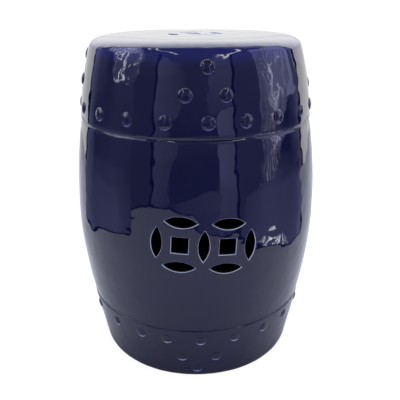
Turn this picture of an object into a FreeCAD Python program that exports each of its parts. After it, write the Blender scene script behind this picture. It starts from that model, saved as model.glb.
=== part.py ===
import FreeCAD, Part
import math
import os

# Ceramic garden stool: a barrel of glazed stoneware, closed by a pierced seat and open below.
# Millimetres, +Z up, the origin on the ground at the middle of the foot, the pierced front faces -Y.
# The outline is given as (radius, height) points and turned about the Z axis.

# Driving dimensions of the turned body
height = 460.0
foot_radius = 147.6
flare = 0.188                  # radius gained by the lower band for each millimetre of height
lower_groove = 86.4            # height of the joint between lower band and belly
upper_groove = 350.0           # height of the joint between belly and upper band
upper_groove_radius = 161.6    # radius at the bottom of the upper groove
lower_groove_radius = 162.5    # the lower groove is only a shallow crease
widest_radius = 176.2
widest_height = 205.0
shoulder_radius = 145.8        # where the seat slab is luted to the upper band and rounds over
shoulder_height = 445.4
flat_radius = 112.0            # edge of the flat seat
wall = 9.0
joint_inner_radius = 152.9     # inner edge of the joint at both grooves

# Seat slab: a disc with a rounded rim that is turned down on to the upper band
slab_thickness = 12.0
rim_inner_radius = 136.4

# Foot coil: bare clay, lapped a little way under the wall and standing up inside it
lap = 1.6
coil_inner_radius = 126.0
coil_joint_radius = 137.5
coil_height = 12.0
coil_chamfer = 4.0
coil_edge_inset = 0.4          # the clay stands back from the glaze by this much

# Pierced double coin on the belly, single coin in the seat
coin_spacing = 60.5            # from one square to the next, along the surface
leaf_length = 43.0
leaf_width = 14.8
square_side = 22.0
motif_height = 219.6
front_tilt = -3.4              # degrees; the template was held a little askew
back_tilt = 0.0
seat_coin_spacing = 63.0
seat_coin_turn = 16.0          # degrees; the seat's coin was cut turned against the front

# Nail-head studs: balls of clay pressed flat, with a wide crown and a tighter round at the edge
row_count = 20
upper_stud = (16.8, 2.6, 20.0, 2.9)    # diameter, rise, radius of the crown, radius of the edge
lower_stud = (14.8, 2.2, 18.0, 2.5)
stud_depth = 3.0                       # how far a stud reaches below the wall's face before it is hollowed
upper_row_height = 370.6
lower_row_height = 68.8

# Azimuths in degrees, 0 at the front and positive towards +X. The studs were set by eye, so the
# ones in sight have their own places, and the rest of each row is spaced evenly.
upper_row_in_sight = (-69.8, -50.9, -33.8, -16.0, 2.1, 18.6, 35.4, 54.0, 71.8)
lower_row_in_sight = (-69.7, -49.4, -32.4, -18.1, -1.1, 16.2, 33.5, 50.4, 69.8)

# Each trio stands over or hangs under a stud of the row: (azimuth from that stud, height)
upper_trio = ((-9.6, 401.4), (7.8, 401.0), (0.1, 432.4))
lower_trio = ((-9.7, 37.4), (8.3, 36.7), (-1.7, 15.2))
sides = ("front", "right", "back", "left")
upper_trio_lift = (0.0, -6.0, 0.0, 4.0)    # the side trios were set lower and higher than the front one
lower_trio_lift = (0.0, 0.0, 0.0, 0.0)
quarter_turn = 90.0


def section_point(radius, z):
    return FreeCAD.Vector(radius, 0, z)


def line(start, end):
    return Part.LineSegment(section_point(*start), section_point(*end)).toShape()


def arc(start, middle, end):
    return Part.Arc(section_point(*start), section_point(*middle), section_point(*end)).toShape()


def bend(start, corner, end):
    """A smooth curve that leaves start and reaches end along the lines through corner."""
    curve = Part.BezierCurve()
    curve.setPoles([section_point(*start), section_point(*corner), section_point(*end)])
    return curve.toShape()


def turned(edges):
    """The closed section made by the edges, turned once round the Z axis."""
    face = Part.Face(Part.Wire(edges))
    return face.revolve(FreeCAD.Vector(0, 0, 0), FreeCAD.Vector(0, 0, 1), 360)


def band_radius(z):
    return foot_radius + flare * z


# Outer outline, from the foot to the seat. Each edge of a band rounds into its groove.
wall_bottom = (foot_radius, lap)
band_bottom = (band_radius(3.0), 3.0)
band_top = (band_radius(78.5), 78.5)
lower_joint = (lower_groove_radius, lower_groove)
belly_bottom = (163.4, 90.0)
belly_low = (170.9, 135.0)
belly_widest = (widest_radius, widest_height)
belly_high = (172.9, 277.0)
belly_top = (163.3, 345.8)
upper_joint = (upper_groove_radius, upper_groove)
upper_band_bottom = (163.2, 354.4)
upper_band_middle = (158.0, 393.0)
shoulder = (shoulder_radius, shoulder_height)
shoulder_corner = (142.2, 459.6)
flat_edge = (flat_radius, height)

lower_band_outline = [
    bend(wall_bottom, (band_radius(0.5), 2.2), band_bottom),
    line(band_bottom, band_top),
    bend(band_top, (band_radius(82.5), 82.5), lower_joint),
]
belly_outline = [
    bend(lower_joint, (162.92, 87.8), belly_bottom),
    arc(belly_bottom, belly_low, belly_widest),
    arc(belly_widest, belly_high, belly_top),
    bend(belly_top, (162.8, 349.4), upper_joint),
]
upper_band_outline = [
    bend(upper_joint, (163.2, 350.6), upper_band_bottom),
    arc(upper_band_bottom, upper_band_middle, shoulder),
]
shoulder_outline = bend(shoulder, shoulder_corner, flat_edge)

# Inner outline, which is out of sight in the photograph
rim_inner = (rim_inner_radius, shoulder_height)
upper_joint_inner = (joint_inner_radius, upper_groove)
lower_joint_inner = (joint_inner_radius, lower_groove)
upper_band_inner_middle = (148.8, 393.0)
belly_inner_middle = (widest_radius - wall, widest_height + 6)


def make_seat_slab():
    slab_bottom = height - slab_thickness
    rim_start = (rim_inner_radius - (slab_bottom - shoulder_height), slab_bottom)
    slab = turned([
        line((0, slab_bottom), rim_start),
        line(rim_start, rim_inner),
        line(rim_inner, shoulder),
        shoulder_outline,
        line(flat_edge, (0, height)),
        line((0, height), (0, slab_bottom)),
    ])
    for opening in coin_openings(seat_coin_spacing):
        along, across, outline = opening
        cutter = outline.extrude(FreeCAD.Vector(0, -2 * slab_thickness, 0))
        cutter.translate(FreeCAD.Vector(along, 0, across))
        cutter.rotate(FreeCAD.Vector(0, 0, 0), FreeCAD.Vector(1, 0, 0), -90)
        cutter.translate(FreeCAD.Vector(0, 0, slab_bottom - slab_thickness / 2))
        cutter.rotate(FreeCAD.Vector(0, 0, 0), FreeCAD.Vector(0, 0, 1), seat_coin_turn)
        slab = slab.cut(cutter)
    return slab


def make_upper_band():
    return turned(upper_band_outline + [
        line(shoulder, rim_inner),
        arc(rim_inner, upper_band_inner_middle, upper_joint_inner),
        line(upper_joint_inner, upper_joint),
    ])


def make_belly():
    belly = turned(belly_outline + [
        line(upper_joint, upper_joint_inner),
        arc(upper_joint_inner, belly_inner_middle, lower_joint_inner),
        line(lower_joint_inner, lower_joint),
    ])
    for facing, tilt in ((0.0, front_tilt), (180.0, back_tilt)):
        for opening in double_coin_openings(tilt):
            along, up, outline = opening
            cutter = outline.extrude(FreeCAD.Vector(0, -4 * wall, 0))
            cutter.rotate(FreeCAD.Vector(0, 0, 0), FreeCAD.Vector(0, 1, 0), -tilt)
            cutter.translate(FreeCAD.Vector(0, 2 * wall - widest_radius, motif_height + up))
            azimuth = facing + math.degrees(along / widest_radius)
            cutter.rotate(FreeCAD.Vector(0, 0, 0), FreeCAD.Vector(0, 0, 1), azimuth)
            belly = belly.cut(cutter)
    return belly


def make_lower_band():
    coil_top = (coil_joint_radius, coil_height)
    coil_lap = (coil_joint_radius, lap)
    return turned(lower_band_outline + [
        line(lower_joint, lower_joint_inner),
        line(lower_joint_inner, coil_top),
        line(coil_top, coil_lap),
        line(coil_lap, wall_bottom),
    ])


def make_foot_coil():
    edge_radius = foot_radius - coil_edge_inset
    corners = [
        (edge_radius, lap),
        (coil_joint_radius, lap),
        (coil_joint_radius, coil_height),
        (coil_inner_radius + coil_chamfer, coil_height),
        (coil_inner_radius, coil_height - coil_chamfer),
        (coil_inner_radius, 0),
        (edge_radius - lap, 0),
    ]
    sides_of_coil = [line(start, end) for start, end in zip(corners, corners[1:])]
    rounded_edge = bend(corners[-1], (edge_radius, 0), corners[0])
    return turned(sides_of_coil + [rounded_edge])


def leaf(upright):
    """The pointed leaf between two crossing circles, as a face in the XZ plane."""
    tip = leaf_length / 2
    side = leaf_width / 2
    if upright:
        points = [(0, -tip), (-side, 0), (0, tip), (side, 0)]
    else:
        points = [(-tip, 0), (0, side), (tip, 0), (0, -side)]
    first = arc(points[0], points[1], points[2])
    second = arc(points[2], points[3], points[0])
    return Part.Face(Part.Wire([first, second]))


def square():
    half = square_side / 2
    corners = [(-half, -half), (half, -half), (half, half), (-half, half)]
    edges = [line(corners[i], corners[(i + 1) % 4]) for i in range(4)]
    return Part.Face(Part.Wire(edges))


def coin_openings(spacing):
    """One coin: a square in a ring of four leaves, as (along, up, outline)."""
    half = spacing / 2
    return [
        (0.0, 0.0, square()),
        (-half, 0.0, leaf(upright=True)),
        (half, 0.0, leaf(upright=True)),
        (0.0, half, leaf(upright=False)),
        (0.0, -half, leaf(upright=False)),
    ]


def double_coin_openings(tilt):
    """Two linked coins that share their middle leaf, with the whole pattern tilted."""
    half = coin_spacing / 2
    placed = [(0.0, 0.0, leaf(upright=True))]
    for side in (-1, 1):
        placed.append((side * half, 0.0, square()))
        placed.append((side * coin_spacing, 0.0, leaf(upright=True)))
        placed.append((side * half, half, leaf(upright=False)))
        placed.append((side * half, -half, leaf(upright=False)))
    turn = math.radians(tilt)
    openings = []
    for along, up, outline in placed:
        tilted_along = along * math.cos(turn) - up * math.sin(turn)
        tilted_up = along * math.sin(turn) + up * math.cos(turn)
        openings.append((tilted_along, tilted_up, outline))
    return openings


def outline_radius(z):
    """The outer radius at one height, read from the upper or lower band's outline."""
    if z < lower_groove:
        return band_radius(z)
    edge = upper_band_outline[1]
    level = line((0, z), (2 * widest_radius, z))
    return level.distToShape(edge)[1][0][0].x


def nail_head(diameter, rise, crown_radius, edge_radius):
    """A ball pressed flat, standing on the Z axis with the wall's face at height 0."""
    foot = diameter / 2
    crown_depth = crown_radius - rise
    spread = crown_radius - edge_radius
    reach = math.hypot(foot, crown_depth)
    gap = math.acos((spread ** 2 + reach ** 2 - edge_radius ** 2) / (2 * spread * reach))
    change = math.atan2(foot, crown_depth) - gap
    edge_middle = (spread * math.sin(change), spread * math.cos(change) - crown_depth)

    def on_crown(angle):
        return (crown_radius * math.sin(angle), crown_radius * math.cos(angle) - crown_depth)

    def on_edge(angle):
        return (edge_middle[0] + edge_radius * math.sin(angle), edge_middle[1] + edge_radius * math.cos(angle))

    side = math.pi / 2
    widest = on_edge(side)
    profile = [
        arc((0, rise), on_crown(change / 2), on_crown(change)),
        arc(on_crown(change), on_edge((change + side) / 2), widest),
        line(widest, (widest[0], -stud_depth)),
        line((widest[0], -stud_depth), (0, -stud_depth)),
        line((0, -stud_depth), (0, rise)),
    ]
    return turned(profile)


def make_stud(azimuth, z, size, core):
    """A nail head, hollowed behind to fit the wall that it is luted to."""
    slope = outline_radius(z + 1) - outline_radius(z - 1)
    lean = math.atan2(-slope, 2)
    stud = nail_head(*size)
    # The head's axis points straight out of the wall, so the cut runs evenly round it.
    stud.rotate(FreeCAD.Vector(0, 0, 0), FreeCAD.Vector(1, 0, 0), quarter_turn - math.degrees(lean))
    stud.translate(FreeCAD.Vector(0, -outline_radius(z), z))
    stud = stud.cut(core)
    stud.rotate(FreeCAD.Vector(0, 0, 0), FreeCAD.Vector(0, 0, 1), azimuth)
    return stud


def row_azimuths(in_sight):
    """The studs in sight, then the rest of the row spaced evenly round the back."""
    hidden = row_count - len(in_sight)
    gap = (360 + in_sight[0] - in_sight[-1]) / (hidden + 1)
    return list(in_sight) + [in_sight[-1] + gap * (i + 1) for i in range(hidden)]


def make_row(name, in_sight, z, size, core):
    studs = {}
    for number, azimuth in enumerate(row_azimuths(in_sight), start=1):
        studs["%s_%02d" % (name, number)] = make_stud(azimuth, z, size, core)
    return studs


def make_trios(name, first_azimuth, trio, lifts, size, core):
    trios = {}
    for quarter, side in enumerate(sides):
        azimuth = first_azimuth + quarter * quarter_turn
        lift = lifts[quarter]
        studs = [make_stud(azimuth + step, z + lift, size, core) for step, z in trio]
        trios["%s_%s" % (name, side)] = Part.makeCompound(studs)
    return trios


def make_core():
    """The whole outline filled in, which shapes the back of every stud."""
    outline = lower_band_outline + belly_outline + upper_band_outline
    return turned(outline + [
        shoulder_outline,
        line(flat_edge, (0, height)),
        line((0, height), (0, lap)),
        line((0, lap), wall_bottom),
    ])


core = make_core()
middle = len(upper_row_in_sight) // 2
upper_middle = upper_row_in_sight[middle]
lower_middle = lower_row_in_sight[middle]

pieces = {
    "seat_slab": make_seat_slab(),
    "upper_band": make_upper_band(),
    "belly_wall": make_belly(),
    "lower_band": make_lower_band(),
    "foot_coil": make_foot_coil(),
}
pieces.update(make_row("upper_stud", upper_row_in_sight, upper_row_height, upper_stud, core))
pieces.update(make_trios("upper_trio", upper_middle, upper_trio, upper_trio_lift, upper_stud, core))
pieces.update(make_row("lower_stud", lower_row_in_sight, lower_row_height, lower_stud, core))
pieces.update(make_trios("lower_trio", lower_middle, lower_trio, lower_trio_lift, lower_stud, core))

os.makedirs("parts", exist_ok=True)
for name, shape in pieces.items():
    shape.exportStep("parts/%s.step" % name)
    print(name, "solids", len(shape.Solids), "volume %.0f mm3" % shape.Volume, "valid", shape.isValid())
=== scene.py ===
# %% [markdown]
# A ceramic garden stool, glazed cobalt blue. The real one is pressed from wet stoneware clay in a few
# pieces: a seat slab, an upper band, a pierced belly, a lower band and a foot coil. Nail-head studs are
# luted on, and the whole is dipped in glaze and fired. This lesson builds each piece as a closed mesh, where
# the construction model has it. Most of what the eye sees on such a thing is reflection, so the meshes
# follow one smooth outline, with the slight waviness of real glaze.

# %% Load the fixed frame
import cmath
import math

import bmesh
import bpy
import numpy as np
from mathutils import Matrix, Vector
from mathutils.geometry import delaunay_2d_cdt


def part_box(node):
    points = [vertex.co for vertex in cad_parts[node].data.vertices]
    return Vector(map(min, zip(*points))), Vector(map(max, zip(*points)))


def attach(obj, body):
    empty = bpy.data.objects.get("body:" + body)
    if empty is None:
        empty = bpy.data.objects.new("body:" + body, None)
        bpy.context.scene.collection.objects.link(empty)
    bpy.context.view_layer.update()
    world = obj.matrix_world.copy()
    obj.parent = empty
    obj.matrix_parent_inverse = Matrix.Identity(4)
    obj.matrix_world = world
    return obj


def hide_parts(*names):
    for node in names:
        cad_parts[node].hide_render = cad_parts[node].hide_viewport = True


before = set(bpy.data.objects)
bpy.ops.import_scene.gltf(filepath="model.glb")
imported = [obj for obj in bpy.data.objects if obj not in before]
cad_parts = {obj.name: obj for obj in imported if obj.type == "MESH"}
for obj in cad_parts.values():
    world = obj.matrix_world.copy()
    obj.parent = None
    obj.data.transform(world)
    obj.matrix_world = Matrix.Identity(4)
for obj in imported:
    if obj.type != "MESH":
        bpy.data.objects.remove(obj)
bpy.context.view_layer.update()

# %% [markdown]
# Sizes are in millimetres, as a potter would note them, and become metres only where a mesh is made. The
# height comes from the frame. The other sizes repeat the ones of the construction model.

# %% Sizes of the turned body
MM = 0.001
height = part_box("seat_slab")[1].z / MM
flat_radius = 112.0  # edge of the flat seat
slab_thickness = 12.0
shoulder = (145.8, 445.4)  # (radius, height) where the seat slab meets the upper band
rim_inner_radius = 136.4
upper_groove = 350.0
lower_groove = 86.4
groove_radius = 161.6
joint_inner_radius = 152.9
widest = (176.2, 205.0)
wall = 9.0
foot_radius = 147.6
flare = 0.188  # radius gained by the lower band for each millimetre of height
lap = 1.6  # height at which the glaze stops and the bare foot begins
columns = 288  # steps round the axis, the same for every piece so that their joints meet
print("height %.1f mm, one step is %.2f mm at the widest" % (height, math.tau * widest[0] / columns))

# %% [markdown]
# The outline is drawn from three kinds of stroke, each a list of (radius, height) points: a straight line,
# an arc through three points, and a bend that leaves one point and reaches another along the lines through a
# corner. In the arc, points are complex numbers: a sum moves them and a product turns them.

# %% Strokes of the outline


def straight(start, end, steps):
    return [tuple(point) for point in np.linspace(start, end, steps + 1)]


def bend(start, corner, end, steps):
    first, second = np.linspace(start, corner, steps + 1), np.linspace(corner, end, steps + 1)
    return [tuple(point) for point in first + (second - first) * np.linspace(0, 1, steps + 1)[:, None]]


def arc(start, middle, end, steps):
    a, b, c = (complex(*point) for point in (start, middle, end))
    ratio = (c - a) / (b - a)
    centre = a + (b - a) * (ratio - abs(ratio) ** 2) / (2j * ratio.imag)
    turn = cmath.phase((c - centre) / (a - centre))
    points = [centre + (a - centre) * cmath.exp(1j * turn * i / steps) for i in range(steps + 1)]
    return [(point.real, point.imag) for point in points]


def joined(*strokes):
    """Strokes set end to end, with each meeting point kept once."""
    points = list(strokes[0])
    for stroke in strokes[1:]:
        points += stroke[1:]
    return points


def band_radius(z):
    return foot_radius + flare * z


belly_bottom = (163.6, 90.5)
lower_joint_radius = 162.5
belly_top = (163.3, 345.8)
upper_joint = (groove_radius, upper_groove)
lower_joint = (lower_joint_radius, lower_groove)
upper_band_bottom = (163.2, 354.4)
flat_edge = (flat_radius, height)

lower_band_outline = joined(
    bend((foot_radius, lap), (band_radius(0.5), 2.2), (band_radius(3.0), 3.0), 4),
    straight((band_radius(3.0), 3.0), (band_radius(84.0), 84.0), 26),
    bend((band_radius(84.0), 84.0), (163.74, 86.0), lower_joint, 8),
)
belly_outline = joined(
    bend(lower_joint, (163.5, 87.0), belly_bottom, 8),
    arc(belly_bottom, (170.9, 135.0), widest, 32),
    arc(widest, (172.9, 277.0), belly_top, 40),
    bend(belly_top, (162.85, 348.6), upper_joint, 6),
)
upper_band_outline = joined(
    bend(upper_joint, (163.2, 350.6), upper_band_bottom, 6),
    arc(upper_band_bottom, (158.0, 393.0), shoulder, 28),
)
shoulder_outline = bend(shoulder, (142.2, 459.6), flat_edge, 22)
print("outline points:", [len(part) for part in (lower_band_outline, belly_outline, upper_band_outline)])

# %% [markdown]
# Two small tools serve every material and node tree. One turns a colour's hex code into the linear numbers
# that a shader takes, and one adds a node with its settings and links.

# %% Tools for colours and nodes


def linear(hex_code):
    channels = [int(hex_code[i:i + 2], 16) / 255 for i in (1, 3, 5)]
    return tuple(c / 12.92 if c <= 0.04045 else ((c + 0.055) / 1.055) ** 2.4 for c in channels) + (1.0,)


def add(tree, kind, inputs=(), **settings):
    """Adds a node. Inputs go in order, or by name or number; a node means its first output in use."""
    node = tree.nodes.new(kind)
    for name, value in settings.items():
        setattr(node, name, value)
    for key, value in inputs.items() if isinstance(inputs, dict) else enumerate(inputs):
        if isinstance(value, bpy.types.Node):
            value = next(socket for socket in value.outputs if socket.enabled)
        if isinstance(value, bpy.types.NodeSocket):
            tree.links.new(value, node.inputs[key])
        else:
            node.inputs[key].default_value = value
    return node


def new_material(name):
    material = bpy.data.materials.new(name)
    material.use_nodes = True
    material.node_tree.nodes.clear()
    return material, material.node_tree


# %% [markdown]
# Cobalt-blue stoneware glaze is a thick layer of coloured glass on the clay, fired until it flows. Glass has
# an IOR of about 1.5 and hardly any roughness, so it mirrors the room, faintly where it faces the eye and
# strongly at the edges. It is nearly black in a thick layer, a clear blue where the layer is less thick on
# the shoulder, and a light grey-blue where it runs thin over a cut edge. The same blues are put on the lower
# edge of each stud as a painted highlight. The meshes carry two attributes for that: the first is 1 on the
# edges of the piercings, small on the shoulder, and holds the painted highlight on the studs; inner is 1 on
# the inside of the wall, which has a thin matt wash, painted near black as the shade inside the stool. Large
# waves are in the meshes. The bump holds what is finer: orange peel a few millimetres wide, and pinholes,
# where a gas bubble burst in the kiln.

# %% Cobalt glaze
deep_cobalt = "#0C0F39"
dense_cobalt = "#080A29"
clear_blue = "#1F2B86"
# light grey-blue where the glaze runs thin over a cut edge; also the painted highlight on the studs
thin_edge_and_highlight_blue = "#D2DAEC"
clear_share = 0.3  # thin_glaze at which the glaze is clear blue
# near black: the inside's thin matt wash, with the shade inside the stool painted into it
inner_wash_and_shade = "#07070C"
cloud_width = 45.0  # mm, slow changes of the glaze's thickness
peel_width = 7.0  # mm
pinhole_spacing = 16.0  # mm
pinhole_radius = 0.45  # mm

glaze, tree = new_material("cobalt_stoneware_glaze")
place = add(tree, "ShaderNodeTexCoord").outputs["Object"]
cloud = add(tree, "ShaderNodeTexNoise", {"Vector": place, "Scale": 1 / (cloud_width * MM), "Detail": 3.0})
thin = add(tree, "ShaderNodeAttribute", attribute_name="thin_glaze").outputs["Fac"]
# These masks hold the glaze's thin edges and shoulder, and the painted highlight on the studs' lower edges.
thinner_and_highlight = add(tree, "ShaderNodeMapRange", {"Value": thin, "From Max": clear_share})
thinnest_and_highlight = add(tree, "ShaderNodeMapRange", {"Value": thin, "From Min": clear_share})
inner = add(tree, "ShaderNodeAttribute", attribute_name="inner").outputs["Fac"]
colour = linear(dense_cobalt)
# The inner coat paints the shade inside the stool into the colour, near black.
coats = (cloud, deep_cobalt), (thinner_and_highlight, clear_blue), (thinnest_and_highlight, thin_edge_and_highlight_blue), (inner, inner_wash_and_shade)
for mask, code in coats:
    colour = add(tree, "ShaderNodeMix", {0: mask, 6: colour, 7: linear(code)}, data_type="RGBA")
roughness = add(tree, "ShaderNodeMapRange", {"Value": inner, "To Min": 0.035, "To Max": 0.7})
mirror = add(tree, "ShaderNodeMapRange", {"Value": inner, "To Min": 0.5, "To Max": 0.05})
peel = add(tree, "ShaderNodeTexNoise", {"Vector": place, "Scale": 1 / (peel_width * MM), "Detail": 1.0})
pits = add(tree, "ShaderNodeTexVoronoi", {"Vector": place, "Scale": 1 / (pinhole_spacing * MM)})
pit = add(tree, "ShaderNodeMapRange", {"Value": pits, "From Max": pinhole_radius / pinhole_spacing})
peel_bump = add(tree, "ShaderNodeBump", {"Height": peel, "Strength": 1.0, "Distance": 0.025 * MM})
pit_bump = add(tree, "ShaderNodeBump",
               {"Height": pit, "Strength": 1.0, "Distance": 0.12 * MM, "Normal": peel_bump})
gloss = add(tree, "ShaderNodeBsdfPrincipled",
            {"Base Color": colour, "Roughness": roughness, "IOR": 1.5, "Specular IOR Level": mirror,
             "Normal": pit_bump})
add(tree, "ShaderNodeOutputMaterial", {"Surface": gloss})
print("glaze nodes:", len(tree.nodes))

# %% [markdown]
# The foot stands bare, because glaze would fuse it to the kiln shelf. It is a buff stoneware clay, wiped
# with a sponge: no gloss at all, a warm sandy colour, darker specks of iron and a grain that the sponge laid
# open.

# %% Bare clay
clay_light = "#C9A078"
clay_dark = "#9C6F4C"
iron_speck = "#5A3A26"
mottle_width = 14.0  # mm
grain_width = 0.8
speck_spacing = 3.0

bare_clay, tree = new_material("bare_stoneware_clay")
place = add(tree, "ShaderNodeTexCoord").outputs["Object"]
mottle = add(tree, "ShaderNodeTexNoise", {"Vector": place, "Scale": 1 / (mottle_width * MM), "Detail": 5.0})
specks = add(tree, "ShaderNodeTexVoronoi", {"Vector": place, "Scale": 1 / (speck_spacing * MM)})
speck = add(tree, "ShaderNodeMapRange", {"Value": specks, "From Min": 0.16, "From Max": 0.10, "To Max": 0.8})
grain = add(tree, "ShaderNodeTexNoise", {"Vector": place, "Scale": 1 / (grain_width * MM), "Detail": 2.0})
grain_bump = add(tree, "ShaderNodeBump", {"Height": grain, "Strength": 1.0, "Distance": 0.15 * MM})
colour = linear(clay_dark)
for mask, code in (mottle, clay_light), (speck, iron_speck):
    colour = add(tree, "ShaderNodeMix", {0: mask, 6: colour, 7: linear(code)}, data_type="RGBA")
matt = add(tree, "ShaderNodeBsdfPrincipled", {"Base Color": colour, "Roughness": 0.9, "Normal": grain_bump})
add(tree, "ShaderNodeOutputMaterial", {"Surface": matt})
print("clay nodes:", len(tree.nodes))

# %% [markdown]
# A potter turns the bands on the wheel, and a Geometry Nodes tree can do the same. It lays a grid with a row
# for each point of the section and a column for each step round the axis. Each grid point then moves to its
# section point, turned about the axis by its share of a whole turn. The section is closed, so the result is
# a closed ring. Spin would do it too, but the tree keeps the section editable and its number of steps as an
# input.

# %% A tool for trees, and the wheel


def new_tree(name, sockets):
    """A Geometry Nodes group with the named inputs; returns it with the outputs of its input node."""
    group = bpy.data.node_groups.new(name, "GeometryNodeTree")
    for label, kind in {"Geometry": "Geometry", **sockets, "Material": "Material"}.items():
        group.interface.new_socket(label, in_out="INPUT", socket_type="NodeSocket" + kind)
    group.interface.new_socket("Geometry", in_out="OUTPUT", socket_type="NodeSocketGeometry")
    return group, add(group, "NodeGroupInput").outputs


def finish_tree(group, given, geometry):
    """Every tree ends in real geometry, smooth faces and a material."""
    real = add(group, "GeometryNodeRealizeInstances", {"Geometry": geometry})
    smooth = add(group, "GeometryNodeSetShadeSmooth", {"Geometry": real})
    painted = add(group, "GeometryNodeSetMaterial", {"Geometry": smooth, "Material": given["Material"]})
    add(group, "NodeGroupOutput", {"Geometry": painted})
    print("%s: %d nodes" % (group.name, len(group.nodes)))


wheel, given = new_tree("turned_on_the_wheel", {"Steps": "Int"})
section = given["Geometry"]
count = add(wheel, "GeometryNodeAttributeDomainSize", {"Geometry": section}).outputs["Point Count"]
rows = add(wheel, "ShaderNodeMath", (count, 1.0), operation="ADD")
steps = add(wheel, "ShaderNodeMath", (given["Steps"], 1.0), operation="ADD")
grid = add(wheel, "GeometryNodeMeshGrid", {"Vertices X": steps, "Vertices Y": rows})
shares = add(wheel, "ShaderNodeSeparateXYZ", (grid.outputs["UV Map"],)).outputs
row = add(wheel, "ShaderNodeMath", (shares["Y"], count), operation="MULTIPLY")
whole_row = add(wheel, "ShaderNodeMath", (row,), operation="ROUND")
index = add(wheel, "ShaderNodeMath", (whole_row, count), operation="MODULO")
position = add(wheel, "GeometryNodeInputPosition")
section_point = add(wheel, "GeometryNodeSampleIndex",
                    {"Geometry": section, "Value": position, "Index": index}, data_type="FLOAT_VECTOR")
angle = add(wheel, "ShaderNodeMath", (shares["X"], math.tau), operation="MULTIPLY")
placed = add(wheel, "ShaderNodeVectorRotate", {"Vector": section_point, "Angle": angle},
             rotation_type="Z_AXIS")
ring = add(wheel, "GeometryNodeSetPosition", {"Geometry": grid, "Position": placed})
closed = add(wheel, "GeometryNodeMergeByDistance", {"Geometry": ring, "Distance": 1e-6})
finish_tree(wheel, given, add(wheel, "GeometryNodeFlipFaces", {"Mesh": closed}))

# %% [markdown]
# Fired glaze is never quite even. It flows, pools and pulls, so a reflection in it has ragged, wavering
# edges. The second tree sinks every point of a piece by a few tenths of a millimetre. The noise depends on
# the place only, and so does the direction: towards the axis on the walls, turning down to the vertical
# under the seat. Pieces that meet therefore still meet after it. The depth is counted from near the top of
# the noise's range, so that the highest waves touch the outline and none passes it.

# %% Waves in the glaze
wave_top = 0.72  # the noise seldom goes above this value
wave_inputs = {
    "Wide wave width": 60.0 * MM,
    "Wide wave depth": 1.2 * MM,
    "Fine wave width": 16.0 * MM,
    "Fine wave depth": 0.8 * MM,
    "Dome height": 330.0 * MM,  # above this height the waves begin to sink downwards
    "Seed": 4.0,
}

waves, given = new_tree("waves_in_the_glaze", dict.fromkeys(wave_inputs, "Float"))
position = add(waves, "GeometryNodeInputPosition")
point_height = add(waves, "ShaderNodeSeparateXYZ", (position,)).outputs["Z"]
level = add(waves, "ShaderNodeMath", (point_height, given["Dome height"]), operation="MINIMUM")
middle = add(waves, "ShaderNodeCombineXYZ", {"Z": level})
way_in = add(waves, "ShaderNodeVectorMath", (middle, position), operation="SUBTRACT")
inwards = add(waves, "ShaderNodeVectorMath", (way_in,), operation="NORMALIZE")
depths = []
for label in ("Wide wave ", "Fine wave "):
    scale = add(waves, "ShaderNodeMath", (1.0, given[label + "width"]), operation="DIVIDE")
    noise = add(waves, "ShaderNodeTexNoise",
                {"Vector": position, "W": given["Seed"], "Scale": scale, "Detail": 1.0},
                noise_dimensions="4D")
    depths.append(add(waves, "ShaderNodeMapRange",
                      {"Value": noise, "From Min": wave_top, "From Max": wave_top - 1,
                       "To Max": given[label + "depth"]}))
depth = add(waves, "ShaderNodeMath", depths, operation="ADD")
move = add(waves, "ShaderNodeVectorMath", {0: inwards, "Scale": depth}, operation="SCALE")
moved = add(waves, "GeometryNodeSetPosition", {"Geometry": given["Geometry"], "Offset": move})
finish_tree(waves, given, moved)

# %% [markdown]
# A tree works as a modifier on a builder object. Its inputs are set by their identifiers, the result is
# copied to a plain mesh, and the builder goes. In each finished mesh, doubles are merged, faces point out,
# and edges sharper than a set angle are shaded as edges.

# %% From builder to finished piece
sharp_angle = math.radians(38)


def new_object(name, points, edges, faces, attributes=None):
    mesh = bpy.data.meshes.new(name)
    mesh.from_pydata([tuple(p) for p in points], edges, faces)
    for label, values in (attributes or {}).items():
        kind, field = ("FLOAT", "value") if np.ndim(values) == 1 else ("FLOAT_VECTOR", "vector")
        layer = mesh.attributes.new(label, kind, "POINT")
        layer.data.foreach_set(field, np.array(values, np.float32).ravel())
    made = bpy.data.objects.new(name, mesh)
    bpy.context.scene.collection.objects.link(made)
    return made


def run_trees(builder, *trees):
    """Runs (tree, inputs) pairs on the builder and leaves the result as its plain mesh."""
    for group, inputs in trees:
        modifier = builder.modifiers.new(group.name, "NODES")
        modifier.node_group = group
        for item in group.interface.items_tree:
            if item.in_out == "INPUT" and item.name in inputs:
                modifier[item.identifier] = inputs[item.name]
    graph = bpy.context.evaluated_depsgraph_get()
    result = bpy.data.meshes.new_from_object(builder.evaluated_get(graph), preserve_all_data_layers=True,
                                             depsgraph=graph)
    builder.modifiers.clear()
    old, builder.data = builder.data, result
    bpy.data.meshes.remove(old)
    return builder


def tidy(piece):
    """Merges doubles, points the faces outwards and marks sharp edges."""
    work = bmesh.new()
    work.from_mesh(piece.data)
    bmesh.ops.remove_doubles(work, verts=work.verts, dist=2e-6)
    bmesh.ops.delete(work, geom=[e for e in work.edges if not e.link_faces], context="EDGES")
    bmesh.ops.recalc_face_normals(work, faces=work.faces)
    open_edges = sum(1 for e in work.edges if not e.is_manifold)
    work.to_mesh(piece.data)
    work.free()
    piece.data.set_sharp_from_angle(angle=sharp_angle)
    triangles = sum(len(p.vertices) - 2 for p in piece.data.polygons)
    print("%-14s %6d triangles, %d open edges" % (piece.name, triangles, open_edges))
    return piece


# %% [markdown]
# The upper band, the lower band and the foot coil are plain turned rings, so the wheel makes them. The inner
# side is out of sight and gets only a few points. The foot coil stands bare under the glaze line.

# %% Bands and foot


def fired(piece, *trees, material=glaze):
    """Runs the trees and then the waves on a piece, and tidies it."""
    run_trees(piece, *trees, (waves, {**wave_inputs, "Material": material}))
    return tidy(piece)


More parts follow.
